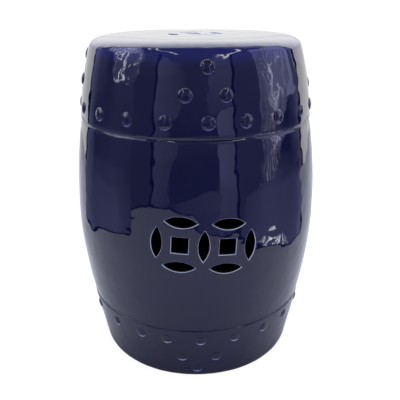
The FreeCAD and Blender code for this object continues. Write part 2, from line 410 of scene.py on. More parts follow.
def section_object(name, points):
    """A closed section in the plane from which azimuth 0, the front, is turned."""
    ends = [(i, (i + 1) % len(points)) for i in range(len(points))]
    return new_object(name, [(0.0, -r * MM, z * MM) for r, z in points], ends, [])


def turned_piece(name, points, material=glaze):
    wheel_inputs = {"Steps": columns, "Material": material}
    return fired(section_object(name, points), (wheel, wheel_inputs), material=material)


rim_inner = (rim_inner_radius, shoulder[1])
upper_joint_inner = (joint_inner_radius, upper_groove)
lower_joint_inner = (joint_inner_radius, lower_groove)
upper_inner = arc(rim_inner, (148.8, 393.0), upper_joint_inner, 12)
upper_band = turned_piece("upper_band_glazed", upper_band_outline + upper_inner)

coil_inner_radius = 126.0
coil_joint_radius = 137.5
coil_height = 12.0
coil_chamfer = 4.0
clay_inset = 0.4  # the clay stands back from the glaze by this much
coil_top = (coil_joint_radius, coil_height)
coil_lap = (coil_joint_radius, lap)
lower_inner = joined(straight(lower_joint_inner, coil_top, 12), straight(coil_top, coil_lap, 2))
lower_band = turned_piece("lower_band_glazed", lower_band_outline + lower_inner)

edge_radius = foot_radius - clay_inset
coil_side = (coil_inner_radius, coil_height - coil_chamfer)
coil_section = joined(
    bend((edge_radius - lap, 0.0), (edge_radius, 0.0), (edge_radius, lap), 5),
    straight((edge_radius, lap), coil_lap, 3),
    straight(coil_lap, coil_top, 2),
    bend(coil_top, (coil_inner_radius, coil_height), coil_side, 5),
    straight(coil_side, (coil_inner_radius, 0.0), 2),
    straight((coil_inner_radius, 0.0), (edge_radius - lap, 0.0), 4),
)[:-1]
foot_coil = turned_piece("foot_coil_bare", coil_section, bare_clay)

# %% [markdown]
# The piercings are the old coin pattern: a square in a ring of four pointed leaves, with two coins linked on
# the belly and one in the seat. They were cut through the leather-hard clay with a knife and rounded with a
# wet finger. A boolean cut would leave long thin triangles, and a glossy glaze shows every one. So the cut
# is planned on a flat sheet, as a potter plans it: each opening is an outline whose points know which way is
# outwards, rings of points run round it for the rounded edge and the cut wall, and a constrained
# triangulation fills the rest of the sheet, which is then laid round the barrel. Flat points are complex
# numbers again: the real part runs along the wall, and the imaginary part up.

# %% Outlines of the openings
leaf_length = 43.0
leaf_width = 14.8
square_side = 22.0
cut_step = 1.25  # mm between points along a cut
fan = 4  # steps round a sharp corner


def with_fans(sides):
    """Points and outward directions of sides given as (point, outward angle), with a fan at each corner."""
    outline = []
    for side, following in zip(sides, sides[1:] + sides[:1]):
        corner, last = side[-1]
        turn = (following[0][1] - last) % math.tau
        outline += side + [(corner, last + turn * i / fan) for i in range(1, fan)]
    points, angles = np.array(outline).T
    return points, np.exp(1j * angles)


def leaf_outline(upright):
    half_width, tip = leaf_width / 2, leaf_length / 2
    radius = (tip ** 2 + half_width ** 2) / (2 * half_width)
    reach = math.asin(tip / radius)
    steps = round(2 * reach * radius / cut_step)
    sides = []
    for turn in (0.0, math.pi) if upright else (math.pi / 2, math.pi * 3 / 2):
        angles = turn + np.linspace(-reach, reach, steps + 1)
        points = radius * np.exp(1j * angles) - (radius - half_width) * cmath.exp(1j * turn)
        sides.append(list(zip(points, angles)))
    return with_fans(sides)


def square_outline():
    half = square_side / 2
    runs = np.linspace(-half, half, round(square_side / cut_step) + 1)
    turns = [quarter * math.pi / 2 for quarter in range(4)]
    return with_fans([[((half + 1j * run) * cmath.exp(1j * turn), turn) for run in runs] for turn in turns])


def coin(spacing, middle_at, tilt, sides=(-1, 1)):
    """A square with leaves over and under it, and upright leaves on the given sides, tilted about point 0."""
    half = spacing / 2
    parts = [(square_outline(), middle_at)]
    parts += [(leaf_outline(True), middle_at + side * half) for side in sides]
    parts += [(leaf_outline(False), middle_at + side * 1j * half) for side in (-1, 1)]
    turn = cmath.exp(1j * tilt)
    return [((points + move) * turn, directions * turn) for (points, directions), move in parts]


def linked_coins(spacing, tilt):
    """Two coins that share their middle leaf."""
    return coin(spacing, -spacing / 2, tilt) + coin(spacing, spacing / 2, tilt, sides=(1,))


print("points round a leaf %d, round a square %d" % (len(leaf_outline(True)[0]), len(square_outline()[0])))

# %% [markdown]
# Each cut edge is rounded: the surface bends through a quarter circle into the cut. The list below gives the
# rings of a cut from the face of the wall inwards, as (distance outside the cut, depth, thin_glaze). The
# glaze runs off a sharp curve, so thin_glaze is highest on the round and gone again where the curve ends.

# %% Rings of a cut
edge_round = 0.9  # mm
round_steps = 6
apron = (2.4, 1.2)  # plain rings around the rounded edge, so that the triangles start away from it
back_round = 0.8


def cut_rings(thickness):
    rings = [(edge_round + reach, 0.0, 0.0) for reach in apron]
    for i in range(round_steps + 1):
        turn = math.pi / 2 * i / round_steps
        thin_here = min(1.0, max(0.0, 1.7 * math.sin(turn) - 0.4)) if i < round_steps else 0.9
        rings.append((edge_round * (1 - math.sin(turn)), edge_round * (1 - math.cos(turn)), thin_here))
    rings.append((0.0, edge_round + 0.5, 0.25))
    rings += [(0.0, depth, 0.0) for depth in (edge_round + 0.9, thickness / 2, thickness - back_round)]
    return rings + [(back_round, thickness, 0.0)]


print("rings of a cut:", len(cut_rings(wall)))

# %% [markdown]
# The clay helper collects points and faces. A strip joins two loops of points with quads, a cut sinks the
# rings of every opening, and a fill triangulates the flat region between a border and the openings.

# %% Points, strips, cuts and fills
fill_tolerance = 0.012  # mm by which a triangle's middle may lie inside the ring that bounds it


class Clay:
    """Points with their thin_glaze value and their place on the flat sheet, and the faces between them."""

    def __init__(self):
        self.points, self.thin, self.flat, self.faces = [], [], [], []

    def put(self, point, flat=None, thin=0.0):
        self.points.append(point)
        self.flat.append(flat)
        self.thin.append(thin)
        return len(self.points) - 1

    def strip(self, first, second):
        for i in range(len(first)):
            j = (i + 1) % len(first)
            self.faces.append((first[i], first[j], second[j], second[i]))

    def cut(self, openings, thickness, lay):
        """Rings of point numbers for every opening; lay gives the place of a flat point at a depth."""
        cuts = []
        for points, directions in openings:
            rings = []
            for reach, depth, thin_here in cut_rings(thickness):
                places = points + directions * reach
                rings.append([self.put(lay(flat, depth), flat, thin_here) for flat in places])
            for first, second in zip(rings, rings[1:]):
                self.strip(first, second)
            cuts.append(rings)
        return cuts

    def fill(self, border, filling, rings, openings, margin):
        """Triangles between the border, which is convex, the filling points and the given rings."""
        numbers = border + filling + [n for ring in rings for n in ring]
        order = {n: i for i, n in enumerate(numbers)}
        edges = [(order[a], order[b]) for loop in [border] + rings for a, b in zip(loop, loop[1:] + loop[:1])]
        coordinates = [Vector((self.flat[n].real, self.flat[n].imag)) for n in numbers]
        _, _, triangles, sources, _, _ = delaunay_2d_cdt(coordinates, edges, [], 0, 1e-7)
        for triangle in triangles:
            corners = [numbers[sources[v][0]] for v in triangle]
            if outside(np.mean([self.flat[n] for n in corners]), openings, margin - fill_tolerance):
                self.faces.append(tuple(corners))


def outside(place, openings, margin):
    """True if the place is further than the margin from every opening. Each opening is convex."""
    return all(((place - points) * directions.conj()).real.max() >= margin for points, directions in openings)


# %% [markdown]
# The belly is a barrel of grid rows and columns, with a window in the grid at the front and at the back. In
# each window the pierced sheet is filled in. Along the sheet, a millimetre is a millimetre on the widest
# circle. The inner side is built the same way, one wall further in, with every second row.

# %% Belly
coin_spacing = 60.5
motif_height = 219.6
front_tilt = math.radians(-3.4)
window_columns = 21  # grid columns on each side of the pattern's middle
window_reach = 50.0  # mm above and below it
belly_gap = 1.6  # mm between the outermost ring of a cut and the grid points round it
column_width = math.tau * widest[0] / columns
outer_rz = np.array(belly_outline)
inner_rz = np.array(arc(lower_joint_inner, (widest[0] - wall, widest[1] + 6), upper_joint_inner, 80))


def radius_at(side, z):
    return float(np.interp(z, side[:, 1], side[:, 0]))


def on_barrel(along, z, radius):
    """The place of a sheet point: along is measured on the widest circle from the front."""
    a = along / widest[0]
    return (radius * math.sin(a) * MM, -radius * math.cos(a) * MM, z * MM)


belly = Clay()
motifs = []  # (middle column, openings, numbers of the rings of every opening)
for middle_column, tilt in ((0, front_tilt), (columns // 2, 0.0)):
    def in_wall(flat, depth):
        z = motif_height + flat.imag
        if depth >= wall / 2:
            depth *= (radius_at(outer_rz, z) - radius_at(inner_rz, z)) / wall
        return on_barrel(flat.real + middle_column * column_width, z, radius_at(outer_rz, z) - depth)

    openings = linked_coins(coin_spacing, tilt)
    motifs.append((middle_column, openings, belly.cut(openings, wall, in_wall)))


def in_window(c):
    return any(abs((c - m + columns // 2) % columns - columns // 2) < window_columns for m, _, _ in motifs)


def barrel_side(side, ring_number, margin, every=1):
    """One side of the wall: grid cells, and the fill in each window. Returns its lowest and highest rows."""
    levels = list(side[::every, 1])
    inside_rows = [k for k, z in enumerate(levels) if abs(z - motif_height) < window_reach]
    low, high = inside_rows[0], inside_rows[-1]
    grid_numbers = {}
    for k, z in enumerate(levels):
        for c in range(columns):
            if not (in_window(c) and low < k < high):
                grid_numbers[c, k] = belly.put(on_barrel(c * column_width, z, radius_at(side, z)))
    for k in range(len(levels) - 1):
        for c in range(columns):
            if not (in_window(c + 0.5) and low <= k < high):
                corners = ((c, k), (c + 1, k), (c + 1, k + 1), (c, k + 1))
                belly.faces.append(tuple(grid_numbers[column % columns, row] for column, row in corners))
    for middle_column, openings, cuts in motifs:
        left, right = -window_columns, window_columns
        border = [(c, low) for c in range(left, right + 1)]
        border += [(right, k) for k in range(low + 1, high + 1)]
        border += [(c, high) for c in range(right - 1, left - 1, -1)]
        border += [(left, k) for k in range(high - 1, low, -1)]
        border_numbers = [grid_numbers[(c + middle_column) % columns, k] for c, k in border]
        for number, (c, k) in zip(border_numbers, border):
            belly.flat[number] = complex(c * column_width, levels[k] - motif_height)
        filling = []
        for k in range(low + 1, high):
            for c in range(left + 1, right):
                flat = complex(c * column_width, levels[k] - motif_height)
                if outside(flat, openings, margin + belly_gap):
                    along = (c + middle_column) * column_width
                    filling.append(belly.put(on_barrel(along, levels[k], radius_at(side, levels[k])), flat))
        belly.fill(border_numbers, filling, [rings[ring_number] for rings in cuts], openings, margin)
    return [[grid_numbers[c, k] for c in range(columns)] for k in (0, len(levels) - 1)]


outer_ends = barrel_side(outer_rz, 0, edge_round + apron[0])
inner_ends = barrel_side(inner_rz, -1, back_round, every=2)
for outer_end, inner_end in zip(outer_ends, inner_ends):
    belly.strip(outer_end, inner_end)
belly_wall = new_object("belly_wall_glazed", belly.points, [], belly.faces, {"thin_glaze": belly.thin})
fired(tidy(belly_wall))

# %% [markdown]
# The seat slab is a disc whose rim turns down on to the upper band. Its coin is turned against the front by
# a few degrees, as the potter happened to cut it. The flat top and the flat underside are filled sheets, and
# the rim between them is a set of rings.

# %% Seat
seat_coin_spacing = 63.0
seat_coin_turn = math.radians(16.0)
sheet_step = 4.2  # mm between filling points
seat_gap = 1.8  # mm between the outermost ring of a cut and the filling points
border_gap = 2.2  # mm between the border and the filling points
slab_bottom = height - slab_thickness


def on_seat(flat, depth):
    return (flat.real * MM, flat.imag * MM, (height - depth) * MM)


seat = Clay()
seat_openings = coin(seat_coin_spacing, 0.0, seat_coin_turn)
seat_cuts = seat.cut(seat_openings, slab_thickness, on_seat)


def seat_circle(radius, z):
    """A loop of points round the axis, counted from the front like the columns of the other pieces."""
    places = [-1j * radius * cmath.exp(1j * math.tau * c / columns) for c in range(columns)]
    return [seat.put(on_seat(flat, height - z), flat) for flat in places]


def seat_sheet(border, radius, z, ring_number, margin):
    row_height = sheet_step * math.sin(math.pi / 3)
    rows_out, steps_out = int(radius / row_height), int(radius / sheet_step) + 1
    filling = []
    for row_number in range(-rows_out, rows_out + 1):
        for i in range(-steps_out, steps_out + 1):
            flat = complex((i + 0.5 * (row_number % 2)) * sheet_step, row_number * row_height)
            if abs(flat) < radius - border_gap and outside(flat, seat_openings, margin + seat_gap):
                filling.append(seat.put(on_seat(flat, height - z), flat))
    seat.fill(border, filling, [rings[ring_number] for rings in seat_cuts], seat_openings, margin)


rim_top = (rim_inner_radius - slab_bottom + shoulder[1], slab_bottom)
rim_section = shoulder_outline[::-1] + [rim_inner, rim_top]
loops = [seat_circle(r, z) for r, z in rim_section]
for first, second in zip(loops, loops[1:]):
    seat.strip(first, second)
seat_sheet(loops[0], *flat_edge, 0, edge_round + apron[0])
seat_sheet(loops[-1], *rim_top, -1, back_round)
seat_slab = new_object("seat_slab_glazed", seat.points, [], seat.faces, {"thin_glaze": seat.thin})
fired(tidy(seat_slab))

# %% [markdown]
# The studs imitate the nail heads that hold the skin on a drum. Each is a ball of clay, pressed flat on the
# wall with slip, and the glaze pooled round its foot. The wheel tree turns one nail head: a wide crown with
# a tighter round at its edge, and a small fillet to the wall. A third tree sets a copy on each place, varies
# its size a little, and drops every point of it on to the wall, so that the stud fits the curve it sits on.
# Where the steep edge faces down, the tree paints a light crescent into the glaze colour: a painted
# highlight that stands in for a reflection.

# %% Nail heads
row_count = 20
upper_stud = (16.8, 2.6, 20.0, 2.9)  # diameter, rise, radius of the crown, radius of the edge, in mm
lower_stud = (14.8, 2.2, 18.0, 2.5)
upper_row_height = 370.6
lower_row_height = 68.8
upper_row_in_sight = (-69.8, -50.9, -33.8, -16.0, 2.1, 18.6, 35.4, 54.0, 71.8)
lower_row_in_sight = (-69.7, -49.4, -32.4, -18.1, -1.1, 16.2, 33.5, 50.4, 69.8)
upper_trio = ((-9.6, 401.4), (7.8, 401.0), (0.1, 432.4))
lower_trio = ((-9.7, 37.4), (8.3, 36.7), (-1.7, 15.2))
upper_trio_lift = (0.0, -6.0, 0.0, 4.0)  # front, right, back, left
fillet = 0.25  # mm, how softly the stud runs into the wall
skirt = 0.9  # mm, how far the fillet reaches past the stud's foot
sunk = 1.2  # mm of the stud below the wall's face
lifted_off = 0.02  # mm between the fillet's end and the wall's face
ray_start = 15.0  # mm before the wall, where a point starts on its way to it
ray_length = 50.0
stud_steps = 44
stud_rings = 24


def nail_head(name, diameter, rise, crown_radius, edge_radius):
    foot, crown_depth, spread = diameter / 2, crown_radius - rise, crown_radius - edge_radius
    far = math.hypot(foot, crown_depth)
    gap = math.acos((spread ** 2 + far ** 2 - edge_radius ** 2) / (2 * spread * far))
    change = math.atan2(foot, crown_depth) - gap  # the angle at which the crown turns into the edge
    edge_middle = (spread * math.sin(change), spread * math.cos(change) - crown_depth)
    reach = foot + skirt

    def blended(r):
        if r < crown_radius * math.sin(change):
            cap = math.sqrt(crown_radius ** 2 - r * r) - crown_depth
        else:
            cap = edge_middle[1] + math.sqrt(max(edge_radius ** 2 - (r - edge_middle[0]) ** 2, 0.0))
        return (cap + math.hypot(cap, fillet)) / 2

    radii = [reach * math.sin(math.pi / 2 * i / stud_rings) for i in range(stud_rings + 1)]
    section = [(r, blended(r) - blended(reach) * (r / reach) ** 2 + lifted_off) for r in radii]
    builder = section_object(name, section + [(reach, -sunk), (0.0, -sunk)])
    return run_trees(builder, (wheel, {"Steps": stud_steps, "Material": glaze}))


setting, given = new_tree("nail_heads_set_on_the_wall", {
    "Nail head": "Object", "Wall": "Object", "Smallest": "Float", "Largest": "Float", "Seed": "Int",
    "Painted highlight": "Float",
})
position = add(setting, "GeometryNodeInputPosition")
head = add(setting, "GeometryNodeObjectInfo", {"Object": given["Nail head"]}).outputs["Geometry"]
head_height = add(setting, "ShaderNodeSeparateXYZ", (position,)).outputs["Z"]
marked = add(setting, "GeometryNodeStoreNamedAttribute",
             {"Geometry": head, "Name": "rise", "Value": head_height}, data_type="FLOAT")
outward = add(setting, "GeometryNodeInputNamedAttribute", {"Name": "outward"}, data_type="FLOAT_VECTOR")
facing = add(setting, "FunctionNodeAlignRotationToVector", {"Vector": outward}, axis="Z")
size = add(setting, "FunctionNodeRandomValue",
           {2: given["Smallest"], 3: given["Largest"], "Seed": given["Seed"]}, data_type="FLOAT").outputs[1]
copies = add(setting, "GeometryNodeInstanceOnPoints",
             {"Points": given["Geometry"], "Instance": marked, "Rotation": facing, "Scale": size})
real = add(setting, "GeometryNodeRealizeInstances", {"Geometry": copies})
wall_surface = add(setting, "GeometryNodeObjectInfo", {"Object": given["Wall"]}).outputs["Geometry"]
before_wall = (outward, (ray_start * MM,) * 3, position)
start = add(setting, "ShaderNodeVectorMath", before_wall, operation="MULTIPLY_ADD")
inwards = add(setting, "ShaderNodeVectorMath", {0: outward, "Scale": -1.0}, operation="SCALE")
ray = add(setting, "GeometryNodeRaycast", {"Target Geometry": wall_surface, "Source Position": start,
                                           "Ray Direction": inwards, "Ray Length": ray_length * MM}).outputs
rise = add(setting, "GeometryNodeInputNamedAttribute", {"Name": "rise"}, data_type="FLOAT")
fitted = add(setting, "ShaderNodeVectorMath", (outward, rise, ray["Hit Position"]), operation="MULTIPLY_ADD")
dropped = add(setting, "GeometryNodeSetPosition",
              {"Geometry": real, "Selection": ray["Is Hit"], "Position": fitted})
# Painted highlight: a light crescent on the downward-facing edge of each stud, in place of a reflection.
normal = add(setting, "GeometryNodeInputNormal").outputs[0]
facing_up = add(setting, "ShaderNodeSeparateXYZ", (normal,)).outputs["Z"]
downwards = add(setting, "ShaderNodeMapRange", {"Value": facing_up, "From Min": -0.3, "From Max": -0.48})
on_edge = add(setting, "ShaderNodeMapRange", {"Value": rise, "From Min": 0.05 * MM, "From Max": 0.25 * MM,
                                              "To Max": given["Painted highlight"]})
painted_highlight_mask = add(setting, "ShaderNodeMath", (downwards, on_edge), operation="MULTIPLY")
tinted = add(setting, "GeometryNodeStoreNamedAttribute",
             {"Geometry": dropped, "Name": "thin_glaze", "Value": painted_highlight_mask}, data_type="FLOAT")
finish_tree(setting, given, tinted)

# %% [markdown]
# The studs were placed by eye, so those in sight have their own azimuths, and the others are spaced evenly
# round the back. A trio of studs stands over or under one stud of the row at the front, right, back and
# left.

# %% Places of the studs


def row_azimuths(in_sight):
    hidden = row_count - len(in_sight)
    gap = (360 + in_sight[0] - in_sight[-1]) / (hidden + 1)
    return list(in_sight) + [in_sight[-1] + gap * (i + 1) for i in range(hidden)]


def trio_places(middle_azimuth, trio, lifts=(0.0, 0.0, 0.0, 0.0)):
    quarters = [(middle_azimuth + 90 * quarter, lift) for quarter, lift in enumerate(lifts)]
    return [(azimuth + step, z + lift) for azimuth, lift in quarters for step, z in trio]


def set_studs(name, places, outline, head_size, wall_piece, painted_highlight_strength, seed):
    """Studs of one kind as one mesh: points on the outline with their outward direction, then the tree."""
    heights, radii = np.array(outline)[:, 1], np.array(outline)[:, 0]
    points, directions = [], []
    for azimuth, z in places:
        radius, above, below = np.interp((z, z + 1, z - 1), heights, radii)
        lean = math.atan2(below - above, 2)
        a = math.radians(azimuth)
        points.append(on_barrel(a * widest[0], z, radius))
        directions.append((math.sin(a) * math.cos(lean), -math.cos(a) * math.cos(lean), math.sin(lean)))
    head_object = nail_head(name + "_one", *head_size)
    builder = new_object(name, points, [], [], {"outward": directions})
    run_trees(builder, (setting, {"Nail head": head_object, "Wall": wall_piece, "Smallest": 0.975,
                                  "Largest": 1.025, "Seed": seed, "Painted highlight": painted_highlight_strength, "Material": glaze}))
    bpy.data.objects.remove(head_object)
    return tidy(builder)


upper_row_places = [(azimuth, upper_row_height) for azimuth in row_azimuths(upper_row_in_sight)]
lower_row_places = [(azimuth, lower_row_height) for azimuth in row_azimuths(lower_row_in_sight)]
upper_trio_places = trio_places(upper_row_in_sight[4], upper_trio, upper_trio_lift)
lower_trio_places = trio_places(lower_row_in_sight[4], lower_trio)
# The last number of each kind is the strength of the painted highlight on the studs' lower edges.
upper_kind = (upper_band_outline, upper_stud, upper_band, 0.4)
lower_kind = (lower_band_outline, lower_stud, lower_band, 0.8)
upper_row = set_studs("upper_row_studs", upper_row_places, *upper_kind, 11)
upper_trios = set_studs("upper_trio_studs", upper_trio_places, *upper_kind, 12)
lower_row = set_studs("lower_row_studs", lower_row_places, *lower_kind, 13)
lower_trios = set_studs("lower_trio_studs", lower_trio_places, *lower_kind, 14)

# %% [markdown]
# The inner attribute is measured, not drawn: a point that lies more than about 2 mm from the outer outline,
# seen in the section, is on the inside of the wall or deep in a cut. The glaze thins over the shoulder, so
# thin_glaze gets a small value there.

# %% Mark the inner faces
whole_outline = np.array(joined(lower_band_outline, belly_outline, upper_band_outline, shoulder_outline,
                                straight(flat_edge, (0.0, height), 28)))
inner_starts, inner_full = 1.4, 2.4
thin_heights, thin_values = (432.0, 446.0, 456.0), (0.0, 0.09, 0.04)


def mark_inner(piece):
    mesh = piece.data
    points = np.empty(len(mesh.vertices) * 3, np.float32)
    mesh.vertices.foreach_get("co", points)
    x, y, z = points.reshape(-1, 3).T / MM
    radius_height = np.stack([np.hypot(x, y), z], axis=1)
    nearest = np.full(len(z), 1e9)
    for start, end in zip(whole_outline, whole_outline[1:]):
        run = end - start
        t = np.clip((radius_height - start) @ run / (run @ run), 0, 1)
        nearest = np.minimum(nearest, np.linalg.norm(radius_height - start - t[:, None] * run, axis=1))
    share = np.clip((nearest - inner_starts) / (inner_full - inner_starts), 0, 1)
    mesh.attributes.new("inner", "FLOAT", "POINT").data.foreach_set("value", share.astype(np.float32))
    layer = mesh.attributes.get("thin_glaze") or mesh.attributes.new("thin_glaze", "FLOAT", "POINT")
    thin = np.zeros(len(z), np.float32)
    layer.data.foreach_get("value", thin)
    over_shoulder = np.interp(z, thin_heights, thin_values) * (radius_height[:, 0] > flat_radius)
    layer.data.foreach_set("value", np.maximum(thin, over_shoulder).astype(np.float32))
    print("%-18s inner share %.2f" % (piece.name, share.mean()))


for piece in (seat_slab, upper_band, belly_wall, lower_band):
    mark_inner(piece)

# %% [markdown]
# Every piece rides on the one body of the stool and stands for its pieces of the construction model.
# Nothing in this object moves.

# %% Hand the pieces to the frame
stands_for = {
    seat_slab: "seat_slab", upper_band: "upper_band", belly_wall: "belly_wall", lower_band: "lower_band",
    foot_coil: "foot_coil", upper_row: "upper_stud_", upper_trios: "upper_trio_", lower_row: "lower_stud_",
    lower_trios: "lower_trio_",
}
for piece, beginning in stands_for.items():
    names = sorted(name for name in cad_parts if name.startswith(beginning))
    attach(piece, "root")
    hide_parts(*names)
    print(piece.name, "stands for", len(names))

# %% [markdown]
# The camera stands 0.73 m in front of the stool's axis, a little left of the pattern's middle, half a metre
# up, and looks down by 21.6 degrees. The lens is a short telephoto on a full-size sensor.

# %% Camera
camera_azimuth = math.radians(-3.2)
camera_distance = 730.3  # mm from the axis
camera_height = 502.0
camera_pitch = 0.37696  # radians below the horizon
camera_roll = 0.0047413  # radians, the picture leans a little
focal_pixels = 504.87  # focal length in pixels of a picture 400 pixels wide
picture_width = 400
axis_column = 195.85  # picture column of the stool's axis


def aim(azimuth, elevation):
    """Direction by degrees: azimuth 0 is towards the camera, positive to the picture's right."""
    a, e = math.radians(azimuth) + camera_azimuth, math.radians(elevation)
    return Vector((math.sin(a) * math.cos(e), -math.cos(a) * math.cos(e), math.sin(e)))


camera_data = bpy.data.cameras.new("camera")
camera = bpy.data.objects.new("camera", camera_data)
bpy.context.scene.collection.objects.link(camera)
camera.location = aim(0, 0) * camera_distance * MM + Vector((0, 0, camera_height * MM))
heading = Matrix.Rotation(camera_azimuth, 4, "Z")
tilt_down = Matrix.Rotation(math.pi / 2 - camera_pitch, 4, "X")
lean = Matrix.Rotation(-camera_roll, 4, "Z")
camera.rotation_euler = (heading @ tilt_down @ lean).to_euler()
camera_data.sensor_width = 36.0
camera_data.lens = focal_pixels / picture_width * camera_data.sensor_width
camera_data.shift_x = (picture_width / 2 - axis_column) / picture_width
bpy.context.scene.camera = camera
bpy.context.scene.view_settings.view_transform = "Standard"
print("lens %.1f mm" % camera_data.lens)

# %% [markdown]
# The stool stands on a white sheet in a white room. Seen directly the sheet is white and keeps a soft
# shadow. The glaze mirrors it as an ordinary white sheet, darker near the foot, where the stool shades it.
# Its front ends in steps, which make a ragged horizon in the glaze, and the dark gap beyond it makes a thin
# dark line.

# %% White sheet and white room
shadow_share = 0.22  # how much of the sheet's direct look is its real shading
sheet_outline = [  # (right of the axis, in front of it) in m, seen from the camera
    (-1.35, -0.85), (-0.90, -0.50), (-0.56, -0.27), (-0.55, -0.14), (-0.61, 0.0), (-0.64, 0.15),
    (-0.61, 0.28), (-0.60, 0.41), (-0.70, 0.48), (-0.80, 0.54), (-0.84, 0.75), (-0.60, 1.03), (-0.27, 1.14),
    (-0.05, 1.10), (0.04, 0.86), (0.30, 0.68), (0.44, 0.55), (0.46, 0.42), (0.47, 0.28), (0.48, 0.12),
    (0.49, -0.02), (0.49, -0.12), (0.60, -0.19), (0.88, -0.31), (1.35, -0.50),
]
sheet_back = [(1.35, -1.6), (-1.35, -1.6)]
hem_width = 0.07  # of the dark hem, as a share of the squared distance


def only_in_the_glaze(thing, material):
    """The glaze mirrors the thing, but it lights nothing, and the camera doesn't see it."""
    thing.data.materials.append(material)
    for rays in ("camera", "diffuse", "shadow", "transmission"):
        setattr(thing, "visible_" + rays, False)


sheet_material, tree = new_material("white_sheet")
path = add(tree, "ShaderNodeLightPath").outputs
painted = add(tree, "ShaderNodeBsdfDiffuse", {"Color": linear("#CFD1E0")})
glow = add(tree, "ShaderNodeEmission", {"Color": linear("#FFFFFF"), "Strength": 1.19})
looks = (path["Is Camera Ray"], path["Is Transmission Ray"])
direct = add(tree, "ShaderNodeMath", looks, operation="MAXIMUM")
whiteness = add(tree, "ShaderNodeMath", (direct, 1 - shadow_share), operation="MULTIPLY")
both = add(tree, "ShaderNodeMixShader", (whiteness, painted, glow))
add(tree, "ShaderNodeOutputMaterial", {"Surface": both})
ahead, rightwards = aim(0, 0), aim(90, 0)
sheet_points = [rightwards * x + ahead * y for x, y in sheet_outline + sheet_back]
sheet = new_object("white_sheet", sheet_points, [], [tuple(range(len(sheet_points)))])
sheet.data.materials.append(sheet_material)

hem_material, tree = new_material("dark_hem")
hem_glow = add(tree, "ShaderNodeEmission", {"Color": linear("#06060A"), "Strength": 1.0})
add(tree, "ShaderNodeOutputMaterial", {"Surface": hem_glow})
near = sheet_points[:len(sheet_outline)]
far = [p * (1 + hem_width * p.length) for p in near]
last = len(near) - 1
hem = new_object("dark_hem", near + far, [], [(i, i + 1, i + 2 + last, i + 1 + last) for i in range(last)])
only_in_the_glaze(hem, hem_material)

room_white = 1.1  # what the glaze and the camera see of the room
soft_fill = 0.5  # what lights the stool
world = bpy.data.worlds.new("white_room")
bpy.context.scene.world = world
world.use_nodes = True
tree = world.node_tree
tree.nodes.clear()
path = add(tree, "ShaderNodeLightPath").outputs
seen = add(tree, "ShaderNodeMath", (path["Is Camera Ray"], path["Is Glossy Ray"]), operation="MAXIMUM")
seen = add(tree, "ShaderNodeMath", (seen, path["Is Transmission Ray"]), operation="MAXIMUM")
strength = add(tree, "ShaderNodeMapRange", {"Value": seen, "To Min": soft_fill, "To Max": room_white})
room = add(tree, "ShaderNodeBackground", {"Color": linear("#FFFFFF"), "Strength": strength})
add(tree, "ShaderNodeOutputWorld", {"Surface": room})
print("points of the sheet's edge:", len(sheet_points))

# %% [markdown]
# A glossy thing is lit by what it mirrors. The camera's side of the room is dim and bluish, with a paler
# opening, dark frame edges, and screens of crinkled film. Behind are white walls and a bright overhead
# light. Each is a curved panel far from the stool. Its rows give an elevation, the azimuths where it begins
# and ends there, and its brightness from left to right. The panels show only in the glaze, so the light on
# the stool stays plain.

# %% Panels that the glaze mirrors
stool_middle = Vector((0.0, 0.0, 0.25))
cool_room = "#C4C8FF"
across, up = 48, 6  # grid steps of a panel, from left to right and from row to row


def panel_material(name, colour, fold_width=2.5, crease_width=0.02, lean=0.0, stretch=2.5):
    """Light by the attribute brightness, with bright creases where the attribute crinkle asks for them."""
    material, tree = new_material(name)
    brightness = add(tree, "ShaderNodeAttribute", attribute_name="brightness").outputs["Fac"]
    crinkle = add(tree, "ShaderNodeAttribute", attribute_name="crinkle").outputs["Fac"]
    place = add(tree, "ShaderNodeTexCoord").outputs["Object"]
    hung = add(tree, "ShaderNodeMapping", (place,), vector_type="TEXTURE")
    hung.inputs["Rotation"].default_value[0] = lean
    hung.inputs["Scale"].default_value[2] = stretch
    folds = add(tree, "ShaderNodeTexNoise",
                {"Vector": hung, "Scale": 1 / fold_width, "Detail": 4.0, "Distortion": 1.5})
    ridge = add(tree, "ShaderNodeMath", (folds, 0.5), operation="PINGPONG")
    shine = add(tree, "ShaderNodeMapRange",
                {"Value": ridge, "From Min": 0.5 - crease_width, "From Max": 0.5, "To Max": crinkle})
    strength = add(tree, "ShaderNodeMath", (brightness, 1 / linear(colour)[0]), operation="MULTIPLY")
    even = add(tree, "ShaderNodeEmission", {"Color": linear(colour), "Strength": strength})
    creased = add(tree, "ShaderNodeEmission", {"Color": linear("#F0F2FF"), "Strength": shine})
    add(tree, "ShaderNodeOutputMaterial", {"Surface": add(tree, "ShaderNodeAddShader", (even, creased))})
    return material


cool = panel_material("cool_panel", cool_room)
white = panel_material("white_panel", "#FFFFFF")
slanting = panel_material("slanting_film", cool_room, 4.0, 0.03, lean=math.radians(-20), stretch=0.4)
curly = panel_material("curly_film", cool_room, 3.5, 0.04, stretch=0.3)


